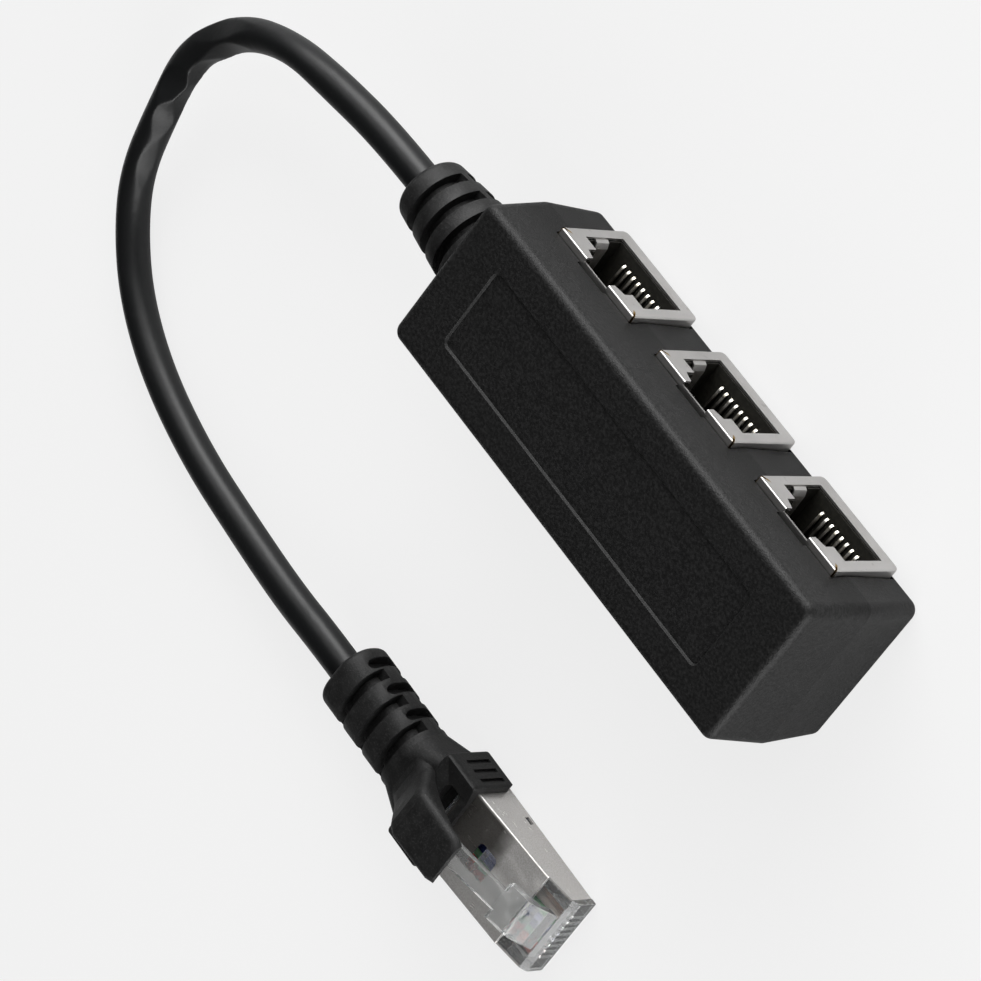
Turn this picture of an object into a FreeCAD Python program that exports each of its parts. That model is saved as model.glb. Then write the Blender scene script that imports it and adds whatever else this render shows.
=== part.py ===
"""Three-way modular-jack splitter on a short cord, in millimetres.

A two-piece moulded housing holds three shielded eight-way jacks that hang under one
circuit board. A short round cord leaves one end through a moulded strain relief and
ends in a shielded eight-way plug with a hooded boot.

Frame: X runs from the cord end of the housing to its free end, Y is the way the jack
faces look, and Z is up. The origin is the centre of the housing's underside.
"""
import FreeCAD
import Part
import math
import os

V = FreeCAD.Vector
X_AXIS = V(1, 0, 0)
Y_AXIS = V(0, 1, 0)
Z_AXIS = V(0, 0, 1)

# Housing.
shell_end_margin = 5.35      # housing beyond the outer jacks at each end
shell_width = 21.7           # along Y, measured at the two large faces
shell_height = 21.2
end_draft = 0.63             # how far each end wall stands out at the parting line
side_draft = 0.6             # the same for the two long walls
shell_wall = 1.6
shell_corner_radius = 1.5
face_edge_radius = 1.2
panel_end_margin = 7.05      # shallow recess on the upper face, with sloping sides
panel_side_margin = 4.85
panel_offset_x = -0.2
panel_offset_y = -0.1
panel_depth = 0.25
panel_corner_radius = 1.0
lip_height = 1.0             # tongue that centres the shells on each other
lip_thickness = 0.7
lip_clearance = 0.1

# Jacks.
jack_count = 3
jack_pitch = 20.9
jack_offset_x = 0.3
jack_width = 15.5
jack_height = 12.45
jack_rear_gap = 3.3          # air between a jack and the rear wall
jack_seat_z = 1.0            # floor left under a jack in the lower shell
jack_proud = 1.4             # front plate beyond the housing's face edge
jack_sheet = 0.3
jack_corner_radius = 0.8
window_clearance = 0.15
latch_relief_width = 5.4
latch_relief_height = 0.5
mouth_width = 12.4           # opening in the front plate for the plug's body
mouth_height = 7.2
mouth_lower_rim = 2.1
step_width = 7.8             # narrower step above it for the root of the latch
step_height = 2.0
slot_width = 4.7             # slot for the latch lever, open at the upper edge
finger_width = 2.4           # grounding finger folded in from each side
finger_length = 5.2
finger_sheet = 0.25
finger_height = 3.9          # middle of the finger above the mouth's lower edge
insert_clearance = 0.1
cavity_width = 11.9
cavity_height = 6.9
insert_back_wall = 3.53      # solid part of the insert behind its cavity
contact_count = 8
contact_pitch = 1.02
contact_width = 0.32
contact_sheet = 0.32
contact_slot_clearance = 0.1
contact_bend_depth = 2.6     # hairpin bend behind the front plate
contact_bend_radius = 0.42
contact_arm_length = 7.6
contact_arm_rise = 1.2
contact_base_height = 0.9    # base leg above the bottom of the insert

# Circuit board and inner leads.
board_end_gap = 1.9          # air between the board and each end wall
board_edge_gap = 0.4         # the same for the long walls
board_thickness = 1.6
tail_length = 1.0
tail_hole_diameter = 0.8
post_diameter = 3.2
post_inset = 2.6
lead_diameter = 0.9
lead_bend_radius = 0.7

# Cord and the strain relief at the housing.
cord_diameter = 4.5
cord_offset_y = -0.2
cord_seat_depth = 3.0        # how far the jacket enters each moulding
cord_seat_clearance = 0.1
relief_length = 14.2
relief_large_diameter = 12.9
relief_small_diameter = 9.3
relief_end_radius = 1.2
relief_neck_diameter = 9.2
relief_neck_clearance = 0.1
relief_flange_diameter = 12.6
relief_flange_thickness = 1.4
relief_slot_count = 3
relief_first_slot = 3.75
relief_slot_pitch = 3.6
relief_slot_width = 1.5
relief_slot_depth = 1.5
relief_web = 1.0

# Plug.
plug_front_x = 25.6
plug_axis_y = -55.05
plug_length = 20.9
plug_width = 12.0
plug_rear_height = 6.6
plug_shield_front_height = 5.1
plug_nose_length = 4.8
plug_nose_height = 3.85       # at the upper edge of the slope over the nose
plug_nose_front_height = 2.9
plug_nose_slope_length = 0.8
plug_wing_gap = 0.1          # the shield's side walls end this far behind that slope
plug_wing_height = 3.8
plug_shield_length = 15.5
plug_sheet = 0.25
plug_fit = 0.05
plug_edge_radius = 0.25
plug_window_length = 3.4
plug_window_width = 3.8
plug_window_from_front = 8.0
plug_catch_from_front = 9.0
cable_cavity_length = 7.4
cable_cavity_width = 8.6
cable_cavity_height = 4.0
wire_diameter = 0.96
wire_height = 2.85
wire_front_gap = 1.1
blade_length = 3.0
blade_thickness = 0.34
blade_recess = 0.45
blade_slot_clearance = 0.08
blade_front_wall = 0.35      # clear wall left in front of the blade slots
lever_narrow_width = 3.25
lever_wide_width = 5.9
lever_step_from_front = 6.7    # where the wide part ends in two catches
lever_top_from_front = 3.7     # where the ramp of the wide part ends
lever_top_height = 7.12
lever_ramp_from_front = 2.85
lever_ramp_height = 6.46
lever_root_from_front = 1.0
lever_root_height = 4.0
lever_length = 15.6
lever_slope = 0.30
lever_thickness = 0.9

# Plug boot.
boot_rear_x = -19.1
boot_axis_z = 4.2
boot_cord_z = 4.7            # the cord enters a little above the middle of the tail
boot_tail_length = 15.2
boot_tail_width = 10.0       # the tail is wider than high
boot_tail_height = 8.2
boot_tail_radius = 3.9
boot_tail_edge_radius = 0.9
boot_top_slot_count = 3
boot_top_slot_first = 4.7
boot_side_slot_first = 2.8
boot_slot_pitch = 4.4
boot_slot_width = 1.6
boot_slot_depth = 1.35
boot_side_slot_length = 5.0
boot_web = 2.4
boot_neck_width = 12.1       # where the boot's neck meets the cheeks
boot_neck_margin = 0.2
boot_core_top = 8.5
boot_scoop_depth = 1.0       # the upper face dips towards the latch pocket
boot_bridge_length = 1.0     # bar over the plug in front of the latch pocket
boot_pocket_length = 3.0
boot_pocket_width = 8.4
boot_pocket_floor = 6.0
boot_cheek_length = 6.1
boot_cheek_thickness = 1.0
boot_cheek_bottom = 0.2
boot_cheek_edge_radius = 1.0
boot_cheek_end_radius = 0.4
boot_cheek_corner_radius = 1.6   # lower front corner, seen from the side
boot_fit = 0.15
boot_overlap = 2.4           # how much of the plug sits in the boot
grip_count = 3
grip_first = 1.2             # first grip slot behind the front of the cheek
grip_pitch = 1.57
grip_width = 0.6
grip_height = 4.3
grip_centre_z = 4.0
grip_depth = 0.35
hood_top = 13.2
hood_reach = 5.8             # front edge of the hood beyond the cheeks
hood_front_width = 6.7
hood_width = 7.8
hood_rear_width = 8.0
hood_shoulder_radius = 1.9     # the hood's shoulder is rounder than its front
hood_edge_radius = 1.2
hood_roof = 0.8
hood_side = 0.5

# The housing follows the row of jacks: its length is measured at the two large faces.
shell_length = (jack_count - 1) * jack_pitch + jack_width + 2 * shell_end_margin

# Route of the cord: its points lie where the cord is seen to lie.
relief_tip_x = -(shell_length / 2 + end_draft + relief_length)
split_z = shell_height / 2
route = [
    (relief_tip_x + cord_seat_depth, cord_offset_y, split_z),
    (-56.9, cord_offset_y, split_z),
    (-68.6, -1.4, 10.3),
    (-78.5, -3.9, 9.4),
    (-87.3, -8.7, 8.1),
    (-92.1, -16.9, 6.8),
    (-92.2, -26.3, 5.6),
    (-90.6, -35.1, 4.4),
    (-86.9, -43.1, 3.3),
    (-79.9, -49.1, 2.6),
    (-69.9, -53.3, 2.35),
    (-58.5, -55.4, 2.35),
    (-45.9, -56.6, 2.7),
    (-34.3, -56.8, 3.6),
    (-24.2, plug_axis_y, boot_cord_z),
    (boot_rear_x + cord_seat_depth, plug_axis_y, boot_cord_z),
]


# Small helpers.
def box(x0, x1, y0, y1, z0, z1):
    return Part.makeBox(x1 - x0, y1 - y0, z1 - z0, V(x0, y0, z0))


def rod(start, axis, length, diameter):
    return Part.makeCylinder(diameter / 2, length, V(*start), axis)


def rounded_rectangle(cx, cy, width, depth, radius, z):
    """Closed wire of a rounded rectangle that lies level at height z."""
    hx = width / 2
    hy = depth / 2
    k = radius * (1 - math.sqrt(0.5))
    edges = []
    corners = [(1, 1), (-1, 1), (-1, -1), (1, -1)]
    for i, (sx, sy) in enumerate(corners):
        a = V(cx + sx * hx, cy + sy * (hy - radius), z)
        b = V(cx + sx * (hx - k), cy + sy * (hy - k), z)
        c = V(cx + sx * (hx - radius), cy + sy * hy, z)
        if i % 2:
            a, c = c, a
        edges.append(Part.Arc(a, b, c).toShape())
        nx, ny = corners[(i + 1) % 4]
        if i % 2:
            d = V(cx + nx * hx, cy + ny * (hy - radius), z)
        else:
            d = V(cx + nx * (hx - radius), cy + ny * hy, z)
        edges.append(Part.LineSegment(c, d).toShape())
    return Part.Wire(Part.__sortEdges__(edges))


def side_plate(points, y0, y1):
    """Solid whose outline is given in X and Z, from y0 to y1."""
    ring = [V(x, y0, z) for x, z in points]
    face = Part.Face(Part.makePolygon(ring + ring[:1]))
    return face.extrude(V(0, y1 - y0, 0))


def front_plate(points, y0, y1, cx):
    """Solid whose outline is given in X (from cx) and Z, from y0 to y1."""
    return side_plate([(cx + x, z) for x, z in points], y0, y1)


def edges_along(shape, axis, test):
    """Straight edges that run along an axis and whose middle passes the test."""
    found = []
    for edge in shape.Edges:
        if len(edge.Vertexes) < 2:
            continue
        run = edge.Vertexes[-1].Point - edge.Vertexes[0].Point
        if run.Length < 1e-6:
            continue
        if abs(run.normalize().dot(axis)) > 0.9 and test(edge.CenterOfMass):
            found.append(edge)
    return found


def turned(profile, axis_y, axis_z):
    """Solid of revolution about a line along X; the profile is (x, radius) pairs."""
    ring = [V(x, axis_y, axis_z + r) for x, r in profile]
    face = Part.Face(Part.makePolygon(ring + ring[:1]))
    return face.revolve(V(0, axis_y, axis_z), X_AXIS, 360)


def group(solids):
    return Part.makeCompound(solids)


def save(name, shape):
    if not shape.isValid():
        raise ValueError(name + " is not a valid solid")
    shape.exportStep("parts/" + name + ".step")
    volume = sum(s.Volume for s in shape.Solids)
    print("%-22s solids %2d  volume %9.2f" % (name, len(shape.Solids), volume))


def tube_along(points, diameter, label):
    """Tube whose runs are joined by arcs as large as the two runs allow."""
    pts = [V(*p) for p in points]
    edges = []
    radii = []
    here = pts[0]
    for i in range(1, len(pts) - 1):
        back = pts[i - 1] - pts[i]
        ahead = pts[i + 1] - pts[i]
        reach = 0.45 * min(back.Length, ahead.Length)
        back.normalize()
        ahead.normalize()
        half_turn = (math.pi - math.acos(max(-1, min(1, back.dot(ahead))))) / 2
        radius = reach / math.tan(half_turn)
        inward = (back + ahead).normalize()
        start = pts[i] + back * reach
        end = pts[i] + ahead * reach
        middle = pts[i] + inward * (radius / math.cos(half_turn) - radius)
        edges.append(Part.LineSegment(here, start).toShape())
        edges.append(Part.Arc(start, middle, end).toShape())
        radii.append(radius)
        here = end
    edges.append(Part.LineSegment(here, pts[-1]).toShape())
    path = Part.Wire(edges)
    circle = Part.Circle(pts[0], pts[1] - pts[0], diameter / 2)
    tube = path.makePipeShell([Part.Wire(circle.toShape())], True, False)
    if label:
        ideal = math.pi * diameter ** 2 / 4 * path.Length
        print(label, "radii", [round(r, 1) for r in radii])
        print(label, "length %.1f  volume ratio %.4f" % (path.Length, tube.Volume / ideal))
    return tube


# Housing shells.
def flare(z):
    """Share of the draft reached at height z: 0 at the faces, 1 at the parting line."""
    return 1 - abs(z - split_z) / split_z


def outline(z, inset, radius):
    width = shell_length + 2 * end_draft * flare(z) - 2 * inset
    depth = shell_width + 2 * side_draft * flare(z) - 2 * inset
    return rounded_rectangle(0, 0, width, depth, radius, z)


def shell_block(inset, z0):
    radius = max(shell_corner_radius - inset, 0.5)
    return Part.makeLoft([outline(z0, inset, radius), outline(split_z, inset, radius)],
                         True, True)


def half_shell():
    """Open tray from the lower face up to the parting line."""
    outer = shell_block(0, 0)
    rim = [e for e in outer.Edges if e.BoundBox.ZMax < 0.01]
    outer = outer.makeFillet(face_edge_radius, rim)
    return outer.cut(shell_block(shell_wall, shell_wall))


def lip_ring(inset, height):
    """Ring that stands on the parting line, inset from the outer surface."""
    r_out = max(shell_corner_radius - inset, 0.5)
    inner = shell_wall
    r_in = max(shell_corner_radius - inner, 0.5)
    a = Part.Face(outline(split_z, inset, r_out)).extrude(Z_AXIS * height)
    b = Part.Face(outline(split_z, inner, r_in)).extrude(Z_AXIS * height)
    return a.cut(b)


jack_centres = [jack_offset_x + (i - (jack_count - 1) / 2) * jack_pitch
                for i in range(jack_count)]
jack_front_y = shell_width / 2 + jack_proud
jack_rear_y = -(shell_width / 2 - shell_wall - jack_rear_gap)
jack_top_z = jack_seat_z + jack_height
board_z = jack_top_z
ceiling_z = shell_height - shell_wall


def cut_jack_windows(shell):
    side = jack_width / 2 + window_clearance
    for cx in jack_centres:
        window = box(cx - side, cx + side, jack_rear_y - window_clearance,
                     jack_front_y + 1, jack_seat_z, jack_top_z + window_clearance)
        relief = box(cx - latch_relief_width / 2, cx + latch_relief_width / 2,
                     shell_width / 2 - shell_wall, jack_front_y + 1,
                     jack_top_z, jack_top_z + window_clearance + latch_relief_height)
        shell = shell.cut(window).cut(relief)
    return shell


def cut_cord_hole(shell):
    hole = relief_neck_diameter + 2 * relief_neck_clearance
    start = (-shell_length / 2 - end_draft - 1, cord_offset_y, split_z)
    return shell.cut(rod(start, X_AXIS, shell_wall + end_draft + 2, hole))


lower = half_shell()
upper = half_shell().mirror(V(0, 0, split_z), Z_AXIS)
lip_inset = shell_wall - lip_thickness
lower = lower.fuse(lip_ring(lip_inset, lip_height)).removeSplitter()
upper = upper.cut(lip_ring(lip_inset - lip_clearance, lip_height + lip_clearance))

def panel_outline(height):
    """Outline of the recess at a height over the upper face; its sides slope at 45 degrees."""
    length = shell_length - 2 * panel_end_margin + 2 * height
    width = shell_width - 2 * panel_side_margin + 2 * height
    return rounded_rectangle(panel_offset_x, panel_offset_y, length, width,
                             panel_corner_radius + height, shell_height + height)


upper = upper.cut(Part.makeLoft([panel_outline(-panel_depth), panel_outline(0.2)], True, True))

board_length = shell_length - 2 * shell_wall - 2 * board_end_gap
board_width = shell_width - 2 * shell_wall - 2 * board_edge_gap
post_z = board_z + board_thickness
post_x = board_length / 2 - post_inset
post_y = board_width / 2 - post_inset
for sx in (-1, 1):
    for sy in (-1, 1):
        foot = (sx * post_x, sy * post_y, post_z)
        upper = upper.fuse(rod(foot, Z_AXIS, ceiling_z - post_z + 0.2, post_diameter))

lower = cut_cord_hole(cut_jack_windows(lower))
upper = cut_cord_hole(cut_jack_windows(upper)).removeSplitter()


# Jacks, built about x = 0 and copied to each place.
mouth_z = jack_seat_z + mouth_lower_rim
step_z = mouth_z + mouth_height
slot_z = step_z + step_height


def mouth_outline(grow):
    """Opening of the front plate, with the step and the slot for the latch."""
    m = mouth_width / 2 + grow
    s = step_width / 2 + grow
    t = slot_width / 2 + grow
    top = jack_top_z + 1
    return [(-m, mouth_z - grow), (m, mouth_z - grow), (m, step_z + grow),
            (s, step_z + grow), (s, slot_z - 0.5), (t, slot_z + grow), (t, top),
            (-t, top), (-t, slot_z + grow), (-s, slot_z - 0.5), (-s, step_z + grow),
            (-m, step_z + grow)]


def jack_shield():
    half = jack_width / 2
    t = jack_sheet
    outer = box(-half, half, jack_rear_y, jack_front_y, jack_seat_z, jack_top_z)
    low = edges_along(outer, Y_AXIS, lambda c: c.z < split_z)
    outer = outer.makeFillet(jack_corner_radius, low)
    rim = [e for e in outer.Edges if e.BoundBox.YMin > jack_front_y - 0.01]
    outer = outer.makeFillet(t * 0.8, rim)
    hollow = box(-half + t, half - t, jack_rear_y + t, jack_front_y - t,
                 jack_seat_z + t, jack_top_z - t)
    low = edges_along(hollow, Y_AXIS, lambda c: c.z < split_z)
    sleeve = outer.cut(hollow.makeFillet(jack_corner_radius - t, low))
    sleeve = sleeve.cut(front_plate(mouth_outline(0), jack_front_y - 2 * t,
                                    jack_front_y + 1, 0))
    # The upper wall is a folded flap: a short open seam shows at each front corner.
    for side in (-1, 1):
        seam = box(-0.12, 0.12, jack_front_y - 2.2, jack_front_y + 1, -0.6, 1)
        seam.rotate(V(0, 0, 0), Y_AXIS, side * 45)
        seam.translate(V(side * (half - 0.2), 0, jack_top_z - 0.2))
        sleeve = sleeve.cut(seam)
    # Rear tails of the contacts leave through a notch in the upper wall.
    tails = contact_count * contact_pitch / 2 + 0.5
    sleeve = sleeve.cut(box(-tails, tails, jack_rear_y + t, jack_rear_y + t + 1.2,
                            jack_top_z - 1, jack_top_z + 1))
    # Grounding fingers fold in from the sides of the mouth.
    z0 = mouth_z + finger_height - finger_width / 2
    for side in (-1, 1):
        x0 = mouth_width / 2 + 0.3
        y0 = jack_front_y - t
        f = finger_sheet
        points = [(x0, y0 + t * 0.5), (x0 - 0.75, y0 - 0.15), (x0 - 1.05, y0 - 0.9),
                  (x0 - 1.2, y0 - finger_length), (x0 - 1.2 + f, y0 - finger_length),
                  (x0 - 1.05 + f, y0 - 0.9), (x0 - 0.6, y0 - 0.25 - f * 0.5),
                  (x0, y0 - f * 0.5)]
        ring = [V(side * x, y, z0) for x, y in points]
        finger = Part.Face(Part.makePolygon(ring + ring[:1])).extrude(Z_AXIS * finger_width)
        sleeve = sleeve.fuse(finger)
    return sleeve.removeSplitter()


insert_bottom = jack_seat_z + jack_sheet + insert_clearance
insert_top = jack_top_z - jack_sheet - insert_clearance
insert_front = jack_front_y - jack_sheet - insert_clearance
riser_gap = contact_sheet + 0.25
insert_rear = jack_rear_y + jack_sheet + riser_gap
cavity_z = mouth_z + (mouth_height - cavity_height) / 2
base_z = insert_bottom + contact_base_height
bend_y = jack_front_y - contact_bend_depth
contact_xs = [(i - (contact_count - 1) / 2) * contact_pitch for i in range(contact_count)]


def jack_insert():
    half = jack_width / 2 - jack_sheet - insert_clearance
    body = box(-half, half, insert_rear, insert_front, insert_bottom, insert_top)
    low = edges_along(body, Y_AXIS, lambda c: c.z < split_z)
    body = body.makeFillet(jack_corner_radius - jack_sheet, low)
    floor_y = insert_rear + insert_back_wall
    cw = cavity_width / 2
    body = body.cut(box(-cw, cw, floor_y, insert_front + 1, cavity_z, cavity_z + cavity_height))
    body = body.cut(box(-step_width / 2, step_width / 2, floor_y + 2, insert_front + 1,
                        cavity_z, slot_z))
    body = body.cut(box(-slot_width / 2, slot_width / 2, floor_y + 4, insert_front + 1,
                        cavity_z, insert_top + 1))
    # Side pockets that let the grounding fingers spring back.
    z0 = mouth_z + finger_height - finger_width / 2 - 0.3
    for side in (-1, 1):
        x0, x1 = sorted((side * cw * 0.9, side * (mouth_width / 2 + 0.4)))
        body = body.cut(box(x0, x1, insert_front - finger_length - 1, insert_front + 1,
                            z0, z0 + finger_width + 0.6))
    # Comb: one groove for each contact, carried on as a tunnel to the rear.
    w = contact_width / 2 + contact_slot_clearance
    groove_floor = base_z - contact_sheet / 2 - contact_slot_clearance
    tunnel_top = base_z + contact_sheet / 2 + contact_slot_clearance
    groove_end = bend_y + contact_bend_radius + contact_sheet + contact_slot_clearance
    for x in contact_xs:
        body = body.cut(box(x - w, x + w, floor_y, groove_end, groove_floor, cavity_z + 0.1))
        body = body.cut(box(x - w, x + w, insert_rear - 1, floor_y + 0.1,
                            groove_floor, tunnel_top))
    return body


def spring_contact():
    """One bent strip: tail, riser, base leg, hairpin bend and the sprung arm."""
    t = contact_sheet
    rear = insert_rear - 0.1
    top = board_z + board_thickness + tail_length
    low = base_z - t / 2
    high = base_z + t / 2
    radius = contact_bend_radius
    arm_y = bend_y - contact_arm_length
    arm_z = high + 2 * radius + contact_arm_rise
    outer_tip = V(0, bend_y + radius + t, high + radius)
    inner_tip = V(0, bend_y + radius, high + radius)
    points_out = [V(0, rear, top), V(0, rear - t, top), V(0, rear - t, low), V(0, bend_y, low)]
    edges = [Part.LineSegment(a, b).toShape() for a, b in zip(points_out, points_out[1:])]
    top_out = V(0, bend_y, high + 2 * radius + t)
    top_in = V(0, bend_y, high + 2 * radius)
    low_in = V(0, bend_y, high)
    tip_out = V(0, arm_y, arm_z + t)
    tip_in = V(0, arm_y, arm_z)
    edges.append(Part.Arc(V(0, bend_y, low), outer_tip, top_out).toShape())
    edges.append(Part.LineSegment(top_out, tip_out).toShape())
    edges.append(Part.LineSegment(tip_out, tip_in).toShape())
    edges.append(Part.LineSegment(tip_in, top_in).toShape())
    edges.append(Part.Arc(top_in, inner_tip, low_in).toShape())
    edges.append(Part.LineSegment(low_in, V(0, rear, high)).toShape())
    edges.append(Part.LineSegment(V(0, rear, high), V(0, rear, top)).toShape())
    face = Part.Face(Part.Wire(edges))
    strip = face.extrude(V(contact_width, 0, 0))
    return strip.translated(V(-contact_width / 2, 0, 0))


def jack_contacts():
    strip = spring_contact()
    return [strip.translated(V(x, 0, 0)) for x in contact_xs]


# Circuit board and inner leads.
def circuit_board():
    hx = board_length / 2
    hy = board_width / 2
    board = box(-hx, hx, -hy, hy, board_z, board_z + board_thickness)
    holes = []
    y = insert_rear - 0.1 - contact_sheet / 2
    for cx in jack_centres:
        for x in contact_xs:
            holes.append(rod((cx + x, y, board_z - 1), Z_AXIS, board_thickness + 2,
                             tail_hole_diameter))
    return board.cut(group(holes))


flange_in_x = -(shell_length / 2 - shell_wall) + 0.05
flange_end_x = flange_in_x + relief_flange_thickness


def inner_leads():
    """Eight leads that turn up from the strain relief to the board's underside."""
    leads = []
    spread = contact_pitch
    for i in range(contact_count):
        y = cord_offset_y + (i - (contact_count - 1) / 2) * spread
        r = lead_bend_radius
        x0 = flange_end_x
        x1 = x0 + lead_diameter / 2 + r
        z0 = split_z
        k = r * (1 - math.sqrt(0.5))
        edges = [Part.LineSegment(V(x0, y, z0), V(x1 - r, y, z0)).toShape(),
                 Part.Arc(V(x1 - r, y, z0), V(x1 - k, y, z0 + k), V(x1, y, z0 + r)).toShape(),
                 Part.LineSegment(V(x1, y, z0 + r), V(x1, y, board_z)).toShape()]
        section = Part.Wire(Part.Circle(V(x0, y, z0), X_AXIS, lead_diameter / 2).toShape())
        leads.append(Part.Wire(edges).makePipeShell([section], True, False))
    return leads


# Strain relief at the housing.
def cut_slots(shape, positions, radii, axis_y, width, depth, web, across_z):
    """Rings cut round a tapered sleeve, with a web left at each side."""
    for x, radius, axis_z in zip(positions, radii, across_z):
        start = (x - width / 2, axis_y, axis_z)
        ring = rod(start, X_AXIS, width, 4 * radius)
        ring = ring.cut(rod(start, X_AXIS, width, 2 * (radius - depth)))
        ring = ring.cut(box(x - width, x + width, axis_y - 2 * radius, axis_y + 2 * radius,
                            axis_z - web / 2, axis_z + web / 2))
        shape = shape.cut(ring)
    return shape


def strain_relief():
    wall_x = relief_tip_x + relief_length
    neck = relief_neck_diameter / 2
    flange = relief_flange_diameter / 2
    big = relief_large_diameter / 2
    small = relief_small_diameter / 2
    body = turned([(flange_end_x, 0), (flange_end_x, flange), (flange_in_x, flange),
                   (flange_in_x, neck), (wall_x - 0.05, neck), (wall_x - 0.05, big),
                   (relief_tip_x, small), (relief_tip_x, 0)], cord_offset_y, split_z)
    tip = [e for e in body.Edges if e.BoundBox.XMax < relief_tip_x + 0.01]
    body = body.makeFillet(relief_end_radius, tip)
    seat = cord_diameter + 2 * cord_seat_clearance
    body = body.cut(rod((relief_tip_x - 1, cord_offset_y, split_z), X_AXIS,
                        cord_seat_depth + 1, seat))
    xs = [relief_tip_x + relief_first_slot + i * relief_slot_pitch
          for i in range(relief_slot_count)]
    rs = [small + (big - small) * (x - relief_tip_x) / relief_length for x in xs]
    return cut_slots(body, xs, rs, cord_offset_y, relief_slot_width, relief_slot_depth,
                     relief_web, [split_z] * len(xs))


# Plug.
plug_rear_x = plug_front_x - plug_length
shield_front_x = plug_front_x - plug_nose_length
shield_rear_x = shield_front_x - plug_shield_length
wing_x = plug_front_x - plug_nose_slope_length - plug_wing_gap


def plug_top(x):
    """Height of the plug's sloping upper face at x."""
    share = (x - shield_rear_x) / plug_shield_length
    return plug_rear_height + (plug_shield_front_height - plug_rear_height) * share


def plug_slab(x0, x1, half_width, bottom, drop):
    """Block between two stations that follows the sloping upper face."""
    points = [(x0, bottom), (x1, bottom), (x1, plug_top(x1) - drop), (x0, plug_top(x0) - drop)]
    return side_plate(points, plug_axis_y - half_width, plug_axis_y + half_width)


def plug_shield():
    t = plug_sheet
    half = plug_width / 2
    outer = plug_slab(shield_rear_x, shield_front_x, half, 0, 0)
    long_edges = edges_along(outer, X_AXIS, lambda c: True)
    outer = outer.makeFillet(plug_edge_radius, long_edges)
    wings = side_plate([(shield_front_x - 1, 0), (wing_x, 0), (wing_x, plug_wing_height),
                        (shield_front_x, plug_shield_front_height - 0.3),
                        (shield_front_x - 1, plug_shield_front_height - 0.3)],
                       plug_axis_y - half, plug_axis_y + half)
    low_edges = edges_along(wings, X_AXIS, lambda c: c.z < 0.1)
    outer = outer.fuse(wings.makeFillet(plug_edge_radius, low_edges))
    shell = outer.cut(plug_slab(shield_rear_x - 1, shield_front_x + 5, half - t, t, t))
    shell = shell.cut(box(shield_front_x, wing_x + 1, plug_axis_y - half + t,
                          plug_axis_y + half - t, -1, plug_rear_height))
    wx = shield_front_x - plug_window_from_front
    window = Part.Face(rounded_rectangle(wx, plug_axis_y, plug_window_length,
                                         plug_window_width, 0.8, plug_nose_height))
    shell = shell.cut(window.extrude(Z_AXIS * 4))
    # Small catch hole low on each side.
    catch_x = shield_front_x - plug_catch_from_front
    shell = shell.cut(box(catch_x - 0.6, catch_x + 0.6, plug_axis_y - half - 1,
                          plug_axis_y + half + 1, 0.6, 1.3))
    return shell.removeSplitter()


wire_ys = [plug_axis_y + (i - (contact_count - 1) / 2) * contact_pitch
           for i in range(contact_count)]
wire_front_x = plug_front_x - wire_front_gap
blade_front_x = plug_front_x - 1.0
blade_top = wire_height - wire_diameter / 2 - 0.04


def latch_lever():
    """Lever that springs up and back from its root on the nose."""
    root_x = plug_front_x - lever_root_from_front
    ramp_x = plug_front_x - lever_ramp_from_front
    top_x = plug_front_x - lever_top_from_front
    step_x = plug_front_x - lever_step_from_front
    end_x = root_x - lever_length
    t = lever_thickness

    def top(x):
        return lever_top_height + (top_x - x) * lever_slope

    wide = side_plate([(root_x, lever_root_height - t), (root_x, lever_root_height),
                       (ramp_x, lever_ramp_height), (top_x, lever_top_height),
                       (step_x, top(step_x)), (step_x, top(step_x) - t),
                       (ramp_x, top(ramp_x) - 1.6 * t), (ramp_x + t, lever_root_height - t)],
                      plug_axis_y - lever_wide_width / 2, plug_axis_y + lever_wide_width / 2)
    narrow = side_plate([(step_x + t, top(step_x + t) - t), (step_x + t, top(step_x + t) - 0.1),
                         (step_x, top(step_x) - 0.1), (end_x, top(end_x)),
                         (end_x, top(end_x) - t)],
                        plug_axis_y - lever_narrow_width / 2, plug_axis_y + lever_narrow_width / 2)
    return wide.fuse(narrow)


def plug_body():
    inner = plug_sheet + plug_fit
    half = plug_width / 2
    rear = plug_slab(plug_rear_x, shield_front_x + 0.05, half - inner, inner, inner)
    slope_x = plug_front_x - plug_nose_slope_length
    lip_x = wing_x + plug_fit
    side = [(shield_front_x + 0.05, 0.15), (plug_front_x, 0.15),
            (plug_front_x, plug_nose_front_height), (slope_x, plug_nose_height),
            (shield_front_x + 0.05, plug_shield_front_height - 0.35)]
    nose = side_plate(side, plug_axis_y - half + inner, plug_axis_y + half - inner)
    front = side_plate([(lip_x, 0.05), (plug_front_x, 0.05),
                        (plug_front_x, plug_nose_front_height), (slope_x, plug_nose_height),
                        (lip_x, plug_nose_height)], plug_axis_y - half, plug_axis_y + half)
    body = rear.fuse([nose, front, latch_lever()])
    cw = cable_cavity_width / 2
    row = contact_count * contact_pitch / 2 + 0.05
    wr = wire_diameter / 2 + 0.05
    cavity_end = plug_rear_x + cable_cavity_length
    body = body.cut(box(plug_rear_x - 1, cavity_end, plug_axis_y - cw, plug_axis_y + cw,
                        wire_height - wr - 0.4, wire_height - wr - 0.4 + cable_cavity_height))
    body = body.cut(box(cavity_end - 0.1, wire_front_x + 0.05, plug_axis_y - row,
                        plug_axis_y + row, wire_height - wr, wire_height + wr))
    bt = blade_thickness / 2 + blade_slot_clearance
    for y in wire_ys:
        body = body.cut(box(blade_front_x - blade_length - 0.1, plug_front_x - blade_front_wall,
                            y - bt, y + bt, -1, wire_height - wr + 0.05))
    return body.removeSplitter()


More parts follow.
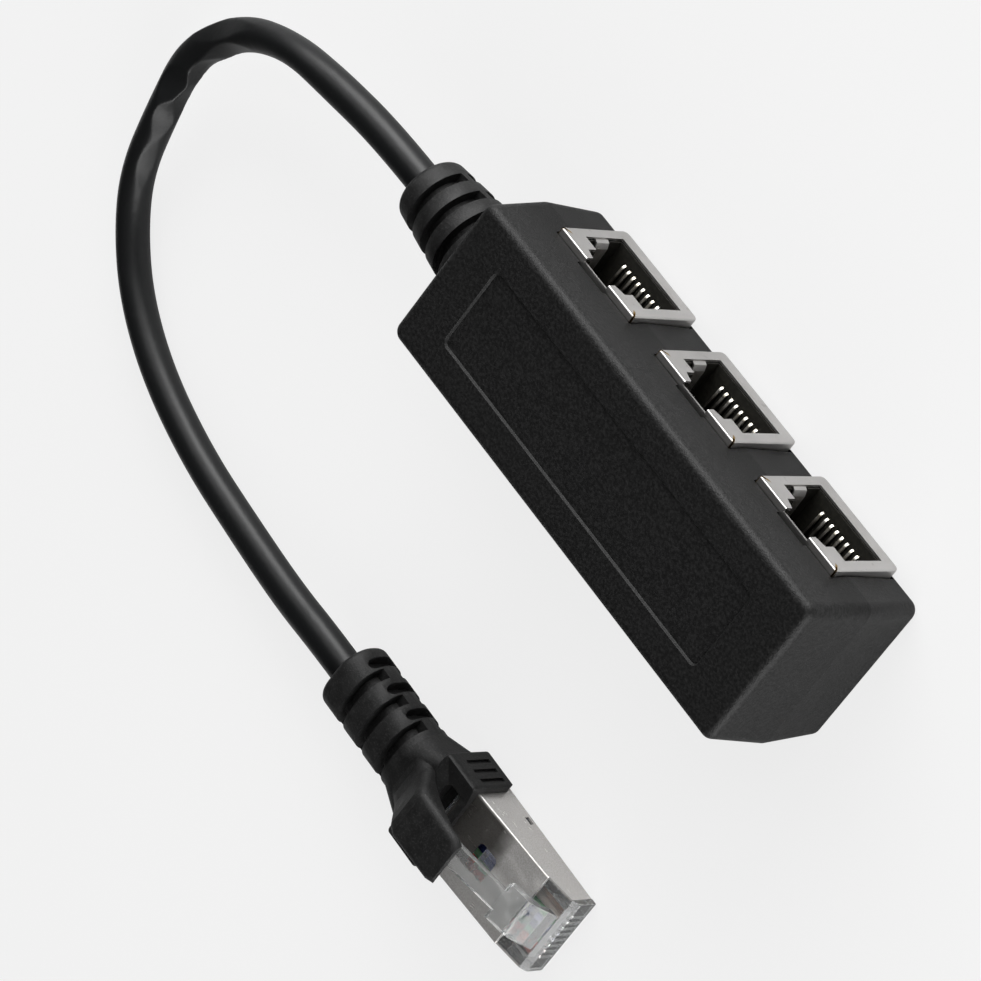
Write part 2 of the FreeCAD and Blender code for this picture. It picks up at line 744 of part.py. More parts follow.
def plug_blades():
    bt = blade_thickness / 2
    blades = []
    for y in wire_ys:
        blades.append(box(blade_front_x - blade_length, blade_front_x, y - bt, y + bt,
                          blade_recess, blade_top))
    return blades


def plug_wire(index):
    start = (boot_pocket_x, wire_ys[index], wire_height)
    return rod(start, X_AXIS, wire_front_x - boot_pocket_x, wire_diameter)


# Plug boot.
boot_front_x = plug_rear_x + boot_overlap
boot_pocket_x = plug_rear_x - 0.3
boot_cheek_rear_x = boot_front_x - boot_cheek_length
boot_tail_end_x = boot_rear_x + boot_tail_length
latch_pocket_x = boot_front_x - boot_bridge_length - boot_pocket_length
boot_cheek_width = plug_width + 2 * (boot_fit + boot_cheek_thickness)


def section_at(x, width, bottom, top, radius):
    """Rounded-rectangle wire that stands upright at x."""
    flat = rounded_rectangle(0, 0, top - bottom, width, radius, 0)
    flat.rotate(V(0, 0, 0), Y_AXIS, -90)
    flat.translate(V(x, plug_axis_y, (top + bottom) / 2))
    return flat


def tail_piece(x, length, inset):
    """Length of the tail's section, inset all round."""
    h = boot_tail_height / 2 - inset
    ring = section_at(x, boot_tail_width - 2 * inset, boot_axis_z - h, boot_axis_z + h,
                      boot_tail_radius - inset)
    return Part.Face(ring).extrude(X_AXIS * length)


def boot_tail():
    d = boot_slot_depth
    tail = tail_piece(boot_rear_x, boot_tail_length + 0.5, 0)
    tip = [e for e in tail.Edges if e.BoundBox.XMax < boot_rear_x + 0.01]
    tail = tail.makeFillet(boot_tail_edge_radius, tip)
    w = boot_tail_width
    for i in range(boot_top_slot_count):
        x = boot_rear_x + boot_top_slot_first + i * boot_slot_pitch - boot_slot_width / 2
        ring = box(x, x + boot_slot_width, plug_axis_y - w, plug_axis_y + w,
                   boot_axis_z - w, boot_axis_z + w)
        ring = ring.cut(tail_piece(x - 1, boot_slot_width + 2, d))
        web = box(x - 1, x + boot_slot_width + 1, plug_axis_y - w - 1, plug_axis_y + w + 1,
                  boot_axis_z - boot_web / 2, boot_axis_z + boot_web / 2)
        tail = tail.cut(ring.cut(web))
    slot = Part.Face(rounded_rectangle(0, 0, boot_slot_width, boot_side_slot_length,
                                       boot_slot_width * 0.49, 0)).extrude(Z_AXIS * 4)
    slot.rotate(V(0, 0, 0), X_AXIS, -90)
    for i in range(boot_top_slot_count):
        x = boot_rear_x + boot_side_slot_first + i * boot_slot_pitch
        for side in (1, -1):
            cut = slot if side > 0 else slot.mirror(V(0, 0, 0), Y_AXIS)
            tail = tail.cut(cut.translated(V(x, plug_axis_y + side * (w / 2 - d), boot_axis_z)))
    return tail


def boot_hood():
    """Raised hood over the latch lever, open at the front and low at the sides."""
    front_x = boot_front_x + hood_reach
    rise_x = boot_cheek_rear_x + 2.4
    r = hood_edge_radius
    soft = hood_shoulder_radius
    stations = [(boot_cheek_rear_x - 3.6, hood_rear_width, boot_core_top - 0.4, soft),
                (boot_cheek_rear_x - 2.1, hood_rear_width, boot_core_top + 0.2, soft),
                (boot_cheek_rear_x - 0.6, hood_rear_width, boot_core_top + 1.2, soft),
                (rise_x - 1.0, hood_width, hood_top - 1.3, soft),
                (rise_x, hood_width, hood_top - 0.45, soft * 0.8),
                (rise_x + 1.2, hood_width, hood_top, r),
                (front_x - 1.2, hood_width - 0.3, hood_top, r),
                (front_x, hood_front_width, hood_top - 0.1, r)]
    wires = [section_at(x, w, boot_axis_z, top, radius) for x, w, top, radius in stations]
    hood = Part.makeLoft(wires, True, True)
    below = [(boot_cheek_rear_x, 0), (boot_cheek_rear_x, boot_core_top - 0.3),
             (rise_x, hood_top - 3.3), (rise_x + 2.4, hood_top - 2.2),
             (rise_x + 6.4, hood_top - 0.95), (front_x + 1, hood_top - 0.8), (front_x + 1, 0)]
    hood = hood.cut(side_plate(below, plug_axis_y - hood_rear_width, plug_axis_y + hood_rear_width))
    inner = hood_front_width / 2 - hood_side
    roof_z = hood_top - hood_roof
    tunnel = side_plate([(latch_pocket_x - 0.6, 0), (latch_pocket_x - 0.6, boot_core_top),
                         (latch_pocket_x + 2.0, roof_z), (front_x + 1, roof_z),
                         (front_x + 1, 0)], plug_axis_y - inner, plug_axis_y + inner)
    return hood.cut(tunnel)


def boot_scoop():
    """What is taken off the upper face in front of the hood's root."""
    low = boot_core_top - boot_scoop_depth
    top = boot_core_top + 1
    outer = boot_cheek_width / 2 + 1
    inner = boot_pocket_width / 2
    rise = boot_scoop_depth * (outer - inner) / (outer - 0.6 - inner)
    ring = [V(boot_cheek_rear_x - 1, plug_axis_y + y, z) for y, z in
            [(-outer, low + rise), (-inner, low), (inner, low), (outer, low + rise),
             (outer, top), (-outer, top)]]
    across = Part.Face(Part.makePolygon(ring + ring[:1])).extrude(X_AXIS * 2 * boot_cheek_length)
    along = side_plate([(boot_cheek_rear_x - 0.2, boot_core_top), (latch_pocket_x, low),
                        (boot_front_x + 1, low), (boot_front_x + 1, top),
                        (boot_cheek_rear_x - 0.2, top)], plug_axis_y - outer, plug_axis_y + outer)
    return across.common(along)


def boot_cheeks():
    """Block round the rear of the plug, with grip slots in its two cheeks."""
    ring = section_at(boot_cheek_rear_x, boot_cheek_width, boot_cheek_bottom, boot_core_top,
                      boot_cheek_edge_radius)
    block = Part.Face(ring).extrude(X_AXIS * boot_cheek_length)
    ends = [e for e in block.Edges if e.BoundBox.XLength < 0.01]
    block = block.makeFillet(boot_cheek_end_radius, ends)
    w = boot_cheek_width
    r = boot_cheek_corner_radius
    axis = (boot_front_x - r, plug_axis_y - w, boot_cheek_bottom + r)
    corner = box(boot_front_x - r, boot_front_x + 1, plug_axis_y - w, plug_axis_y + w,
                 boot_cheek_bottom - 1, boot_cheek_bottom + r)
    block = block.cut(corner.cut(rod(axis, Y_AXIS, 2 * w, 2 * r)))
    for i in range(grip_count):
        x = boot_front_x - grip_first - i * grip_pitch
        for side in (1, -1):
            a, b = sorted((side * (w / 2 - grip_depth), side * (w / 2 + 1)))
            block = block.cut(box(x - grip_width / 2, x + grip_width / 2,
                                  plug_axis_y + a, plug_axis_y + b,
                                  grip_centre_z - grip_height / 2,
                                  grip_centre_z + grip_height / 2))
    return block


def plug_boot():
    h = boot_tail_height
    m = boot_neck_margin
    neck = Part.makeLoft([section_at(boot_tail_end_x, boot_tail_width,
                                     boot_axis_z - h / 2, boot_axis_z + h / 2, boot_tail_radius),
                          section_at(boot_cheek_rear_x + boot_cheek_end_radius, boot_neck_width,
                                     boot_cheek_bottom + m, boot_core_top - m, 1.5)], True, True)
    block = boot_cheeks().cut(boot_scoop()).fuse(neck)
    pocket = box(latch_pocket_x, latch_pocket_x + boot_pocket_length,
                 plug_axis_y - boot_pocket_width / 2, plug_axis_y + boot_pocket_width / 2,
                 boot_pocket_floor, boot_core_top)
    rear = edges_along(pocket, Z_AXIS, lambda c: c.x < latch_pocket_x + 0.1)
    block = block.cut(pocket.makeFillet(1.0, rear))
    boot = boot_tail().fuse([block, boot_hood()])
    half = plug_width / 2 + boot_fit
    boot = boot.cut(box(boot_pocket_x, boot_front_x + 1, plug_axis_y - half,
                        plug_axis_y + half, -1, plug_rear_height + boot_fit))
    seat = cord_diameter + 2 * cord_seat_clearance
    boot = boot.cut(rod((boot_rear_x - 1, plug_axis_y, boot_cord_z), X_AXIS,
                        cord_seat_depth + 1, seat))
    return boot.removeSplitter()


# Build and write.
wire_names = ["white_orange", "orange", "white_green", "blue",
              "white_blue", "green", "white_brown", "brown"]


def build():
    os.makedirs("parts", exist_ok=True)
    save("lower_shell", lower)
    save("upper_shell", upper)
    save("strain_relief", strain_relief())
    save("circuit_board", circuit_board())
    save("inner_leads", group(inner_leads()))
    shield = jack_shield()
    insert = jack_insert()
    contacts = group(jack_contacts())
    for i, cx in enumerate(jack_centres):
        place = V(cx, 0, 0)
        save("jack_shield_%d" % (i + 1), shield.translated(place))
        save("jack_insert_%d" % (i + 1), insert.translated(place))
        save("jack_contacts_%d" % (i + 1), contacts.translated(place))
    save("cord", tube_along(route, cord_diameter, "cord"))
    save("plug_boot", plug_boot())
    save("plug_shield", plug_shield())
    save("plug_body", plug_body())
    save("plug_contacts", group(plug_blades()))
    for i, name in enumerate(wire_names):
        save("wire_" + name, plug_wire(i))


build()
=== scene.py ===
# %% [markdown]
# # A three-way network splitter on a short cord
#
# The real object is a black moulded box with three shielded sockets along one side. A short glossy cord
# leaves one end through a slotted strain relief, curls back beside the box and ends in a shielded plug
# with a hooded boot. The hard parts come from the CAD model, in metres, and stay exactly where they are.
# Blender adds the finish of every surface, and the cord with the flats and creases of its tight bend.

# %% Load the frame
import bmesh
import bpy
import math
from mathutils import Matrix, Vector


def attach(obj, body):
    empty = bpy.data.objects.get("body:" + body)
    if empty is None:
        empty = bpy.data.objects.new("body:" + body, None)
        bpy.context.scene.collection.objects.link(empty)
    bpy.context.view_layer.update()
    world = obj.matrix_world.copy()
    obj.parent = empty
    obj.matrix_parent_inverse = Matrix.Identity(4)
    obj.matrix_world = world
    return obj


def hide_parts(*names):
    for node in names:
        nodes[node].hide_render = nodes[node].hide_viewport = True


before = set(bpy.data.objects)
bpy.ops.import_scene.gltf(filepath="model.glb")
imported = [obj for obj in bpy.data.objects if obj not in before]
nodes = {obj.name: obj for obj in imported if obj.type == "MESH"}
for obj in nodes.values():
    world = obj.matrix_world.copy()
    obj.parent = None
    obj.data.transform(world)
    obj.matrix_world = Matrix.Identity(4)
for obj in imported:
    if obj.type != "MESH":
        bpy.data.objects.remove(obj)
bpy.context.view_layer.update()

# %% [markdown]
# ## Camera
#
# The picture was taken from above, at some distance, with the camera rolled so that the box runs down
# the frame. Three unit vectors say this best: where the picture's right and up point, and the way back
# to the camera. They are the columns of the camera's matrix. A long lens keeps parallel edges nearly
# parallel, as they are in the picture.

# %% Camera
picture_right = Vector((0.5404, 0.5455, -0.6406)).normalized()
picture_up = Vector((-0.7076, 0.7066, 0.0049))
picture_back = picture_right.cross(picture_up).normalized()
picture_up = picture_back.cross(picture_right)
camera_place = Vector((0.28669, 0.27982, 0.52034))

camera_data = bpy.data.cameras.new("camera")
camera_data.lens = 201.66
camera_data.sensor_width = 36
camera_data.clip_start = 0.05
camera_data.clip_end = 20
camera = bpy.data.objects.new("camera", camera_data)
turn = Matrix((picture_right, picture_up, picture_back)).transposed().to_4x4()
camera.matrix_world = Matrix.Translation(camera_place) @ turn
bpy.context.scene.collection.objects.link(camera)
bpy.context.scene.camera = camera
bpy.context.scene.view_settings.view_transform = "Standard"
print("camera looks down at", round(math.degrees(math.asin(picture_back.z)), 1), "degrees")

# %% [markdown]
# ## The line of the cord
#
# A cord that is held at both ends and lies on a table makes one smooth curve. A NURBS spline draws such a
# curve from a few control points, and it leaves both ends in the direction of the first and last pair.
# The points are those of the CAD tube, so the line leaves the strain relief level, comes down to the
# table on the far side of the loop and rises again into the boot. The order and the end rule are set
# after the points are added, because set earlier they don't hold.

# %% The line of the cord
cord_points_mm = [
    (-45.83, -0.2, 10.6), (-56.9, -0.2, 10.6), (-69.2, -1.8, 10.3), (-78.7, -3.8, 9.4),
    (-87.2, -8.8, 8.1), (-92.5, -17.5, 6.8), (-91.9, -26.8, 5.6), (-90.7, -35.9, 4.4),
    (-86.7, -42.8, 3.3), (-80.1, -48.9, 2.6), (-70.3, -53.3, 2.4), (-57.9, -55.8, 2.4),
    (-45.5, -56.4, 2.6), (-33.8, -56.2, 3.6), (-24.2, -55.05, 4.7), (-16.1, -55.05, 4.7),
]
cord_radius = 0.00225
mm_per_metre = 1000

cord_curve = bpy.data.curves.new("cord_line", "CURVE")
cord_curve.dimensions = "3D"
cord_curve.resolution_u = 24
spline = cord_curve.splines.new("NURBS")
spline.points.add(len(cord_points_mm) - 1)
for point, place in zip(spline.points, cord_points_mm):
    point.co = (*(Vector(place) / mm_per_metre), 1)
spline.order_u = 3
spline.use_endpoint_u = True
cord_line = bpy.data.objects.new("cord_line", cord_curve)

bare = bpy.data.meshes.new_from_object(cord_line)
cord_path = [v.co.copy() for v in bare.vertices]
cord_run = [0.0]
for a, b in zip(cord_path, cord_path[1:]):
    cord_run.append(cord_run[-1] + (b - a).length)

# %% [markdown]
# ## The jacket of the cord
#
# Round cable jacket keeps its section on an easy bend. On a tight one it goes flat in places, and the
# edges of these flats show as bent lights. The tube comes from the same spline with a round bevel. Each
# flat is then pressed into it: every point that stands out past a plane is pushed back most of the way
# to it, and the press fades out along the cord. The presses say where along the cord they are, which way
# round (0 is up and 90 is the inner side of the loop), how deep, and how far they reach to each side. The
# last one lies on the outer side and keeps the widened bend inside the CAD model's box. Before that the
# section is squashed here and there: it gets wider sideways by the part that is given, and lower by the
# same part, which keeps the amount of material.

# %% The jacket of the cord
presses = [
    # millimetres along, degrees round, millimetres deep, reach in millimetres
    (46.5, 62, 0.55, 7.5),
    (47.0, -26, 0.75, 8.0),
    (52.5, 84, 0.50, 5.0),
    (57.5, 24, 0.90, 4.5),
    (60.5, 92, 0.60, 4.0),
    (62.5, 58, 0.75, 4.0),
    (70.0, 62, 0.35, 5.0),
    (55.5, -92, 0.14, 15.0),
]
squashes = [
    # millimetres along, part wider (narrower where it is less than 0), reach in millimetres
    (33.0, -0.10, 11.0),
    (51.5, 0.24, 9.0),
    (84.0, -0.05, 24.0),
    (138.0, 0.05, 30.0),
]
pushed_back = 0.85    # the part of what stands out past a plane

cord_curve.bevel_depth = cord_radius
cord_curve.bevel_resolution = 22
cord_curve.use_fill_caps = True
cord_mesh = bpy.data.meshes.new_from_object(cord_line)
cord_mesh.name = "cord_jacket"
around = len(cord_mesh.vertices) // len(cord_path)


def faded(away, reach):
    """1 in the middle of a dent, 0 at its ends and past them."""
    return math.cos(away / reach * math.pi / 2) ** 2 if away < reach else 0.0


def press_tube(mesh):
    """Squashes the tube and pushes the flats into it, ring by ring."""
    last = len(cord_path) - 1
    for vertex in mesh.vertices:
        ring = min(vertex.index // around, last)
        run = cord_run[ring] * mm_per_metre
        along = cord_path[min(ring + 1, last)] - cord_path[max(ring - 1, 0)]
        inner = Vector((0, 0, 1)).cross(along).normalized()
        up = along.cross(inner).normalized()
        offset = vertex.co - cord_path[ring]
        for where, wider, reach in squashes:
            part = wider * faded(abs(run - where), reach)
            offset += inner * offset.dot(inner) * part - up * offset.dot(up) * part
        for where, degrees, painted_spring_shade, reach in presses:
            strength = faded(abs(run - where), reach)
            turned = math.radians(degrees)
            way = up * math.cos(turned) + inner * math.sin(turned)
            over = offset.dot(way) - (cord_radius - painted_spring_shade / mm_per_metre * strength)
            if strength and over > 0:
                offset -= way * over * pushed_back
        vertex.co = cord_path[ring] + offset


press_tube(cord_mesh)
cord = bpy.data.objects.new("cord_jacket", cord_mesh)
bpy.context.scene.collection.objects.link(cord)
for face in cord_mesh.polygons:
    face.use_smooth = True
print("jacket:", around, "points round,", len(cord_mesh.polygons), "faces")

plug_pieces = ["plug_boot", "plug_shield", "plug_body", "plug_contacts"]
plug_pieces += sorted(name for name in nodes if name.startswith("wire_"))
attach(cord, "root")
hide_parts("cord")

# %% [markdown]
# ## A way to write finishes
#
# A finish is a small network of nodes. Drawn by hand it is hard to read back, so here a socket is wrapped
# in a class whose sums and products add the Math nodes. A line such as `0.4 + grain * 0.1` then is the
# drawing. Every other kind of node comes from one method, which sets the node's own settings first and
# its sockets after that.

# %% A way to write finishes
class Value:
    """A socket of a finish; arithmetic on it adds Math nodes."""

    def __init__(self, finish, socket):
        self.finish = finish
        self.socket = socket

    def math(self, operation, first, second=None):
        inputs = {0: first} if second is None else {0: first, 1: second}
        return self.finish.node("ShaderNodeMath", {"operation": operation}, inputs)["Value"]

    def __add__(self, other):
        return self.math("ADD", self, other)

    def __sub__(self, other):
        return self.math("SUBTRACT", self, other)

    def __rsub__(self, other):
        return self.math("SUBTRACT", other, self)

    def __mul__(self, other):
        return self.math("MULTIPLY", self, other)

    def __abs__(self):
        return self.math("ABSOLUTE", self)

    def between(self, low, high, edge):
        """1 where the value lies between low and high, with soft edges."""
        return self.ramp(low - edge, low + edge) * (1 - self.ramp(high - edge, high + edge))

    def ramp(self, low, high):
        """0 below low, 1 above high, smooth between."""
        settings = {"interpolation_type": "SMOOTHSTEP"}
        inputs = {"Value": self, "From Min": low, "From Max": high}
        return self.finish.node("ShaderNodeMapRange", settings, inputs)["Result"]

    __radd__ = __add__
    __rmul__ = __mul__


class Finish:
    """One material: a Principled shader and the nodes that vary it."""

    def __init__(self, name, **constants):
        self.material = bpy.data.materials.new(name)
        self.material.use_nodes = True
        self.tree = self.material.node_tree
        self.shader = self.tree.nodes["Principled BSDF"]
        for socket, value in constants.items():
            self.shader.inputs[socket.replace("_", " ")].default_value = value

    def node(self, kind, settings=None, inputs=None):
        """Adds a node and gives its outputs by name."""
        made = self.tree.nodes.new(kind)
        for name, value in (settings or {}).items():
            setattr(made, name, value)
        for name, value in (inputs or {}).items():
            if isinstance(value, Value):
                self.tree.links.new(value.socket, made.inputs[name])
            else:
                made.inputs[name].default_value = value
        return {socket.name: Value(self, socket) for socket in made.outputs if socket.enabled}

    def place(self):
        """The place on the piece, in metres of the CAD frame."""
        return self.node("ShaderNodeTexCoord")["Object"]

    def axes(self):
        split = self.node("ShaderNodeSeparateXYZ", None, {0: self.place()})
        return split["X"], split["Y"], split["Z"]

    def noise(self, scale, detail=2.0, rough=0.5, vector=None):
        """Soft random spots; a scale of 1000 makes them about a millimetre wide."""
        inputs = {"Vector": vector or self.place(), "Scale": scale, "Detail": detail, "Roughness": rough}
        return self.node("ShaderNodeTexNoise", None, inputs)["Fac"]

    def stretched(self, along, scale):
        """Noise drawn out along one axis, as brushing or drawing leaves it."""
        mapped = self.node("ShaderNodeMapping", None, {"Vector": self.place(), "Scale": along})
        return self.noise(scale, vector=mapped["Vector"])

    def mix(self, factor, first, second):
        """A blend of two colours; its sockets go by number, because their names repeat."""
        node = self.tree.nodes.new("ShaderNodeMix")
        node.data_type = "RGBA"
        for socket, value in ((0, factor), (6, first), (7, second)):
            if isinstance(value, Value):
                self.tree.links.new(value.socket, node.inputs[socket])
            else:
                node.inputs[socket].default_value = value
        return Value(self, node.outputs[2])

    def bump(self, height, distance):
        inputs = {"Height": height, "Distance": distance, "Strength": 1.0}
        return self.node("ShaderNodeBump", None, inputs)["Normal"]

    def varies(self, **values):
        """Links values to the shader's sockets and gives the material."""
        for name, value in values.items():
            self.tree.links.new(value.socket, self.shader.inputs[name.replace("_", " ")])
        return self.material


def grey(value, warm=0.0):
    """A grey, with a warm or cool cast."""
    return (value * (1 + warm), value, value * (1 - warm), 1)


def dress(material, *names):
    """Puts a finish on CAD pieces."""
    for name in names:
        for slot in nodes[name].material_slots:
            slot.material = material


# %% [markdown]
# ## Soft edges
#
# The CAD solids of the boot, the strain relief and the clear body have sharp edges where slots and faces
# meet. Real mouldings never have: the tool's corners are rounded by a few tenths of a millimetre, and the
# light catches them as fine bright lines. A bevel rounds every edge that turns by more than forty degrees.
# The points of neighbouring faces are welded first, because a bevel needs faces that share their edges.
# The rounded strips of the clear body take its second material, which is set further down.

# %% Soft edges
sharp = math.radians(40)
weld_gap = 0.000001


def soften(name, width, edge_slot=-1):
    """Rounds the sharp edges of a piece over a width in metres."""
    piece = nodes[name]
    weld = piece.modifiers.new("weld", "WELD")
    weld.merge_threshold = weld_gap
    bevel = piece.modifiers.new("soft_edges", "BEVEL")
    bevel.width = width
    bevel.segments = 2
    bevel.limit_method = "ANGLE"
    bevel.angle_limit = sharp
    bevel.use_clamp_overlap = True
    bevel.harden_normals = True
    bevel.material = edge_slot


soften("plug_boot", 0.00022)
soften("strain_relief", 0.00022)
soften("plug_body", 0.00018, edge_slot=1)
print("softened:", [o.name for o in nodes.values() if "soft_edges" in o.modifiers])

# %% [markdown]
# ## Black moulded plastic of the box
#
# The box is moulded in a tool with an eroded surface: a fine even grain that scatters the light, so that
# the black looks charcoal. Flow in the mould leaves very faint broad changes of gloss. The grain is bump
# from a small noise, and the changes of gloss come from a large one. The sloping border of the recess was
# filed by hand after the tool was eroded, so it is duller; its height and place pick it out. The long face
# with the sockets carries painted shade below its upper edge: a darker colour that fades out up the face.

# %% Black moulded plastic of the box
rim_to_face = (0.0104, 0.0112)          # y, from the upper rim to the long face
shaded_to_lit_face = (0.0125, 0.0195)        # z, up the long face
border_height = (0.02098, 0.02117)      # z, the slope round the recess
border_ends = (0.0290, 0.0295)          # how far the slope goes to each side along x
border_sides = (0.0072, 0.0074)         # and along y

housing = Finish("housing_plastic", Specular_IOR_Level=0.28)
x, y, z = housing.axes()
grain = housing.noise(6500, 2.0, 0.6)
flow = housing.noise(90)
speck = housing.noise(2400, 2.0, 0.7)
tone = housing.mix(speck.ramp(0.35, 0.72), grey(0.0065), grey(0.0190))
# painted shade: the long face is darkened below its upper edge, fading out further up
painted_face_shade = y.ramp(*rim_to_face) * (1 - z.ramp(*shaded_to_lit_face))
tone = housing.mix(painted_face_shade * 0.85, tone, grey(0.0025))
border = z.between(*border_height, 0.00002) * (1 - abs(x).ramp(*border_ends))
border = border * (1 - abs(y).ramp(*border_sides))
gloss = 0.34 + flow * 0.10 + grain * 0.10 + border * 0.14
pits = grain * 0.5 + speck * 0.5
housing_material = housing.varies(Base_Color=tone, Roughness=gloss, Normal=housing.bump(pits, 0.00012))
dress(housing_material, "upper_shell", "lower_shell")

# %% [markdown]
# ## Soft plastic of the strain relief and the boot
#
# Both are soft black vinyl, moulded over the cord. It is duller than the box and has a fine pale speckle,
# and its surface is slightly uneven where the tool was filed by hand.

# %% Soft plastic of the strain relief and the boot
vinyl = Finish("soft_vinyl", Specular_IOR_Level=0.34)
uneven = vinyl.noise(600)
fine = vinyl.noise(4200, 2.0, 0.7)
vinyl_tone = vinyl.mix(uneven.ramp(0.35, 0.7), grey(0.0085), grey(0.013))
vinyl_tone = vinyl.mix(fine.ramp(0.52, 0.72), vinyl_tone, grey(0.030))
vinyl_material = vinyl.varies(Base_Color=vinyl_tone, Roughness=0.44 + uneven * 0.16,
                              Normal=vinyl.bump(uneven * 0.6 + fine * 0.4, 0.00010))
dress(vinyl_material, "strain_relief", "plug_boot")

# %% [markdown]
# ## Glossy jacket of the cord
#
# The jacket is extruded, so its skin is smooth and bright, and it shows long soft lights on the bends. The
# line of the die leaves slight waves, and a few specks of dust sit on it. The lights stay wide because
# the gloss is not a mirror's.

# %% Glossy jacket of the cord
jacket = Finish("glossy_jacket", Specular_IOR_Level=0.36)
drawn = jacket.noise(420, 3.0)
haze = jacket.noise(120)
dust = jacket.noise(2600, 2.0, 0.7)
jacket_tone = jacket.mix(dust.ramp(0.62, 0.8), grey(0.0075, -0.05), grey(0.014))
jacket_gloss = 0.32 + haze * 0.12 + dust.ramp(0.6, 0.8) * 0.1
jacket_material = jacket.varies(Base_Color=jacket_tone, Roughness=jacket_gloss,
                                Normal=jacket.bump(drawn, 0.00005))
cord_mesh.materials.clear()
cord_mesh.materials.append(jacket_material)

# %% [markdown]
# ## Plated steel of the sockets
#
# Each socket wears a sleeve of thin sheet, stamped and folded. Tin or nickel plating gives a soft pale
# mirror with drawn marks along X and cloudy patches. The sheet is cut after plating, so the bare edges
# of the open corner seams show a warmer colour. The seams lie on a diagonal through each upper corner,
# which makes them easy to find from X and Z. The fold along the top carries painted shade, a darker
# colour that tones down the bright light along it.

# %% Plated steel of the sockets
jack_centres = {1: -0.0206, 2: 0.0003, 3: 0.0212}    # x of each socket
seam_side, seam_height = 0.00755, 0.01325            # a seam's middle, from the centre and up
seam_edge = (0.00018, 0.00028)                       # from bare metal to plating, across the seam
seam_start = (0.0123, 0.0126)                        # z
top_fold_painted_shade = (0.0130, 0.0134)                          # z


def plated_steel(name, centre):
    """The finish of one socket's sleeve."""
    plated = Finish(name, Metallic=1.0)
    x, _, z = plated.axes()
    brushed = plated.stretched((0.12, 1, 1), 5200)
    cloud = plated.noise(260, 3.0)
    stain = plated.noise(700, 3.0, 0.65)
    tone = plated.mix(cloud, grey(0.60, 0.025), grey(0.74, 0.015))
    tone = plated.mix(stain.ramp(0.62, 0.75) * 0.5, tone, grey(0.42, 0.05))
    diagonal = abs(abs(x - centre) - seam_side - (z - seam_height))
    cut_edge = (1 - diagonal.ramp(*seam_edge)) * z.ramp(*seam_start)
    tone = plated.mix(cut_edge, tone, (0.42, 0.27, 0.09, 1))
    # painted shade: the fold along the top is darkened to tone down its light
    tone = plated.mix(z.ramp(*top_fold_painted_shade) * 0.6, tone, grey(0.30, 0.02))
    return plated.varies(Base_Color=tone, Roughness=0.24 + cloud * 0.14 + brushed * 0.08,
                         Normal=plated.bump(brushed, 0.00001))


for number, centre in jack_centres.items():
    dress(plated_steel("plated_steel_%d" % number, centre), "jack_shield_%d" % number)

# %% [markdown]
# ## Nickel of the plug
#
# The plug's shield is brighter than the sockets' sleeves. It was drawn from bright strip, so its marks run
# along X, and mist from handling dulls it in patches. On one side of the latch lever the upper face carries
# a painted reflection beside the hood: a dark colour that stands in for the black hood mirrored in the
# metal.

# %% Nickel of the plug
dark_side = (-0.0570, -0.04935)    # y, from under the lever to the edge of the upper face
dark_end = (0.0138, 0.0168)        # x, where the painted reflection fades out

nickel = Finish("bright_nickel", Metallic=0.6)
rolled = nickel.stretched((0.1, 1, 1), 6000)
mist = nickel.noise(300, 3.0)
pepper = nickel.noise(5200, 2.0, 0.7)
x, y, _ = nickel.axes()
upper_face = y.between(*dark_side, 0.0002)
# painted reflection: the upper face is darkened beside the hood, as if mirroring it
painted_hood_reflection = upper_face * (1 - (x + mist * 0.003).ramp(*dark_end))
nickel_tone = nickel.mix(pepper.ramp(0.3, 0.7), grey(0.64, 0.035), grey(0.88, 0.02))
nickel_tone = nickel.mix(painted_hood_reflection * (0.75 + pepper * 0.3), nickel_tone, grey(0.045, 0.12))
nickel_material = nickel.varies(Base_Color=nickel_tone, Roughness=0.16 + mist * 0.12 + rolled * 0.06,
                                Normal=nickel.bump(rolled * 0.5 + pepper * 0.5, 0.00001))
dress(nickel_material, "plug_shield")

# %% [markdown]
# ## Inserts, contacts and blades
#
# The inserts are dark glass-filled plastic with a brown cast. The springs that lie in them are bare bright
# metal with a thin flash; further into the sockets they carry painted shade, a dark colour for the shade
# there.

# %% Inserts, contacts and blades
insert = Finish("insert_plastic", Specular_IOR_Level=0.5)
insert_grain = insert.noise(2400)
insert_tone = insert.mix(insert_grain.ramp(0.4, 0.7), (0.010, 0.0095, 0.0075, 1), (0.017, 0.016, 0.012, 1))
insert_material = insert.varies(Base_Color=insert_tone, Roughness=0.42 + insert_grain * 0.12,
                                Normal=insert.bump(insert_grain, 0.00003))
dress(insert_material, "jack_insert_1", "jack_insert_2", "jack_insert_3")

shaded_to_lit_spring = (0.0082, 0.0100)    # y, out towards the mouths of the sockets
past_the_plug = (-0.010, -0.009)     # y, so that the plug's own contacts stay bright

spring = Finish("bright_contacts", Metallic=1.0)
worn = spring.noise(1800)
spring_tone = spring.mix(worn.ramp(0.35, 0.7), (0.74, 0.69, 0.58, 1), (0.84, 0.82, 0.77, 1))
_, y, _ = spring.axes()
# painted shade: the springs darken further into the sockets
painted_spring_shade = (1 - y.ramp(*shaded_to_lit_spring)) * y.ramp(*past_the_plug)
spring_tone = spring.mix(painted_spring_shade * 0.92, spring_tone, (0.10, 0.09, 0.08, 1))
spring_material = spring.varies(Base_Color=spring_tone, Roughness=0.36 + worn * 0.12)
dress(spring_material, "jack_contacts_1", "jack_contacts_2", "jack_contacts_3", "plug_contacts")

# %% [markdown]
# ## Clear body of the plug
#
# Clear polycarbonate looks white and cloudy at this size, because the moulded faces inside scatter light.
# A slight blur of what is seen through it does this, and the colours of the wires show through faintly. The
# rounded edges gather the light and look white; their strips carry a painted highlight, a pale and nearly
# opaque finish of their own.

